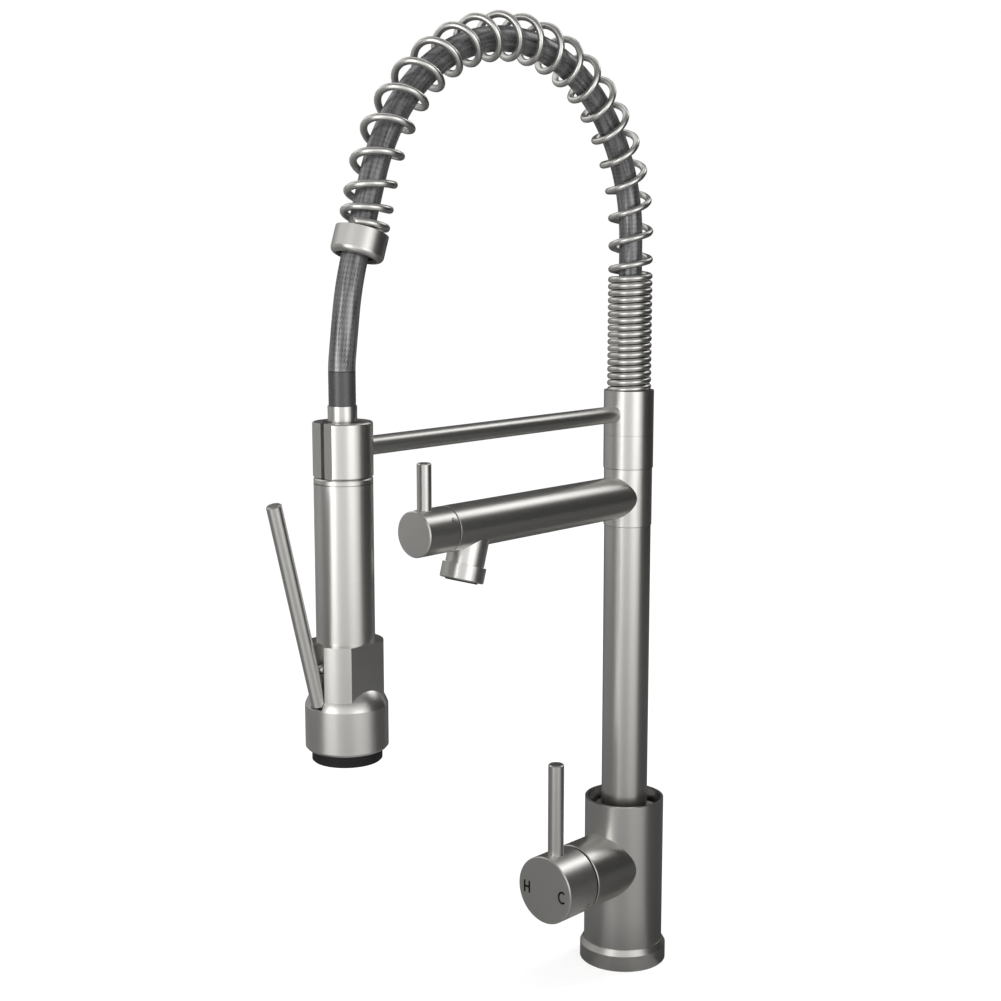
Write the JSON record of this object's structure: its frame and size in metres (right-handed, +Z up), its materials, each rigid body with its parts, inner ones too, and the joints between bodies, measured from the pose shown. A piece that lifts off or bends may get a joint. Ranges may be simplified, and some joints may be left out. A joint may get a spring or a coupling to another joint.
{
  "type": "kitchen faucet",
  "caption": "Single-lever kitchen mixer: tall column, spring arch with a pull-down spray head on a swinging holder arm, and a swinging pot-filler spout with its own tap.",
  "frame": {"origin": "on the deck, on the column's axis", "axes": "+Z up the column; the mixer's boss and both arms point along -Y at rest; +X to the right when facing +Y"},
  "size_m": [0.053, 0.3043, 0.5634],
  "materials": {
    "stainless": "brushed stainless steel",
    "brass": "turned brass",
    "rubber": "matte black rubber",
    "plastic": "moulded acetal",
    "dark_plastic": "moulded dark grey plastic",
    "ceramic": "polished ceramic",
    "braid": "rubber hose in a dark grey braided sleeve"
  },
  "bodies": {
    "tap_body": {"base_ring": "stainless", "base_gasket": "rubber", "inlet_block": "brass", "mixer_body": "stainless", "mixer_cartridge": "plastic", "cartridge_seals": "rubber", "fixed_disc": "ceramic", "cartridge_nut": "brass", "cartridge_dome": "stainless", "column_tube": "stainless", "column_seal": "rubber", "column_nut": "stainless", "column_spindle": "brass", "hub_seals": "rubber", "hub_washers": "plastic", "collar_seals": "rubber", "collar_circlip": "stainless", "lower_collar": "stainless"},
    "mixer_spindle": {"cartridge_carrier": "plastic", "moving_disc": "ceramic"},
    "mixer_handle": {"cartridge_stem": "brass", "mixer_hub": "stainless", "hub_set_screw": "stainless", "mixer_lever": "stainless"},
    "pot_filler": {"pot_filler_arm": "stainless", "pot_filler_valve": "brass", "aerator_ring": "stainless", "aerator_insert": "dark_plastic", "aerator_washer": "rubber"},
    "pot_filler_handle": {"pot_filler_stem": "brass", "pot_filler_knob": "stainless", "pot_filler_lever": "stainless", "knob_screw": "stainless"},
    "spray_arch": {"upper_collar": "stainless", "hose_nipple": "brass", "spring_guide": "dark_plastic", "holder_arm": "stainless", "holder_ring": "stainless", "hose": "braid", "spring": "stainless"},
    "spray_line": {"spring_end_collar": "stainless", "collar_bush": "dark_plastic", "hose_ferrule": "stainless", "ferrule_seal": "rubber"},
    "spray_head": {"head_connector": "stainless", "check_valve": "plastic", "head_tube": "stainless", "valve_body": "stainless", "lever_pin": "stainless", "spray_cup": "stainless", "nozzle_ring": "rubber", "spray_plate": "dark_plastic"},
    "squeeze_lever": {"spray_lever": "stainless"},
    "plunger": {"valve_plunger": "stainless"}
  },
  "joints": [
    {"name": "mixer_temperature", "type": "hinge", "parent": "tap_body", "child": "mixer_spindle", "pos_m": [0, -0.03, 0.0644], "axis": [0, 1, 0], "range_deg": [-45, 45]},
    {"name": "mixer_flow", "type": "hinge", "parent": "mixer_spindle", "child": "mixer_handle", "pos_m": [0, -0.03, 0.0644], "axis": [1, 0, 0], "range_deg": [0, 20]},
    {"name": "spout_swivel", "type": "hinge", "parent": "tap_body", "child": "pot_filler", "pos_m": [0, 0, 0.2917], "axis": [0, 0, 1], "continuous": true},
    {"name": "spout_tap", "type": "hinge", "parent": "pot_filler", "child": "pot_filler_handle", "pos_m": [0, -0.157, 0.2917], "axis": [0, 1, 0], "range_deg": [0, 90]},
    {"name": "arch_swivel", "type": "hinge", "parent": "tap_body", "child": "spray_arch", "pos_m": [0, 0, 0.342], "axis": [0, 0, 1], "continuous": true},
    {"name": "spray_pull", "type": "slide", "parent": "spray_arch", "child": "spray_line", "axis": [0, 0, -1], "range_m": [0, 0.07], "stiffness_N_per_m": 300, "springref_m": -0.06, "deforming": ["spring", "hose"]},
    {"name": "head_swivel", "type": "hinge", "parent": "spray_line", "child": "spray_head", "pos_m": [0, -0.2289, 0.34], "axis": [0, 0, 1], "continuous": true},
    {"name": "lever_squeeze", "type": "hinge", "parent": "spray_head", "child": "squeeze_lever", "pos_m": [0, -0.2434, 0.20795], "axis": [-1, 0, 0], "range_deg": [0, 10], "stiffness_Nm_per_rad": 1.5, "springref_deg": -5.73},
    {"name": "plunger_travel", "type": "slide", "parent": "spray_head", "child": "plunger", "axis": [0, 1, 0], "range_m": [0, 0.0045]}
  ],
  "couplings": [
    {"joint": "plunger_travel", "follows": "lever_squeeze", "m_per_rad": 0.024}
  ]
}
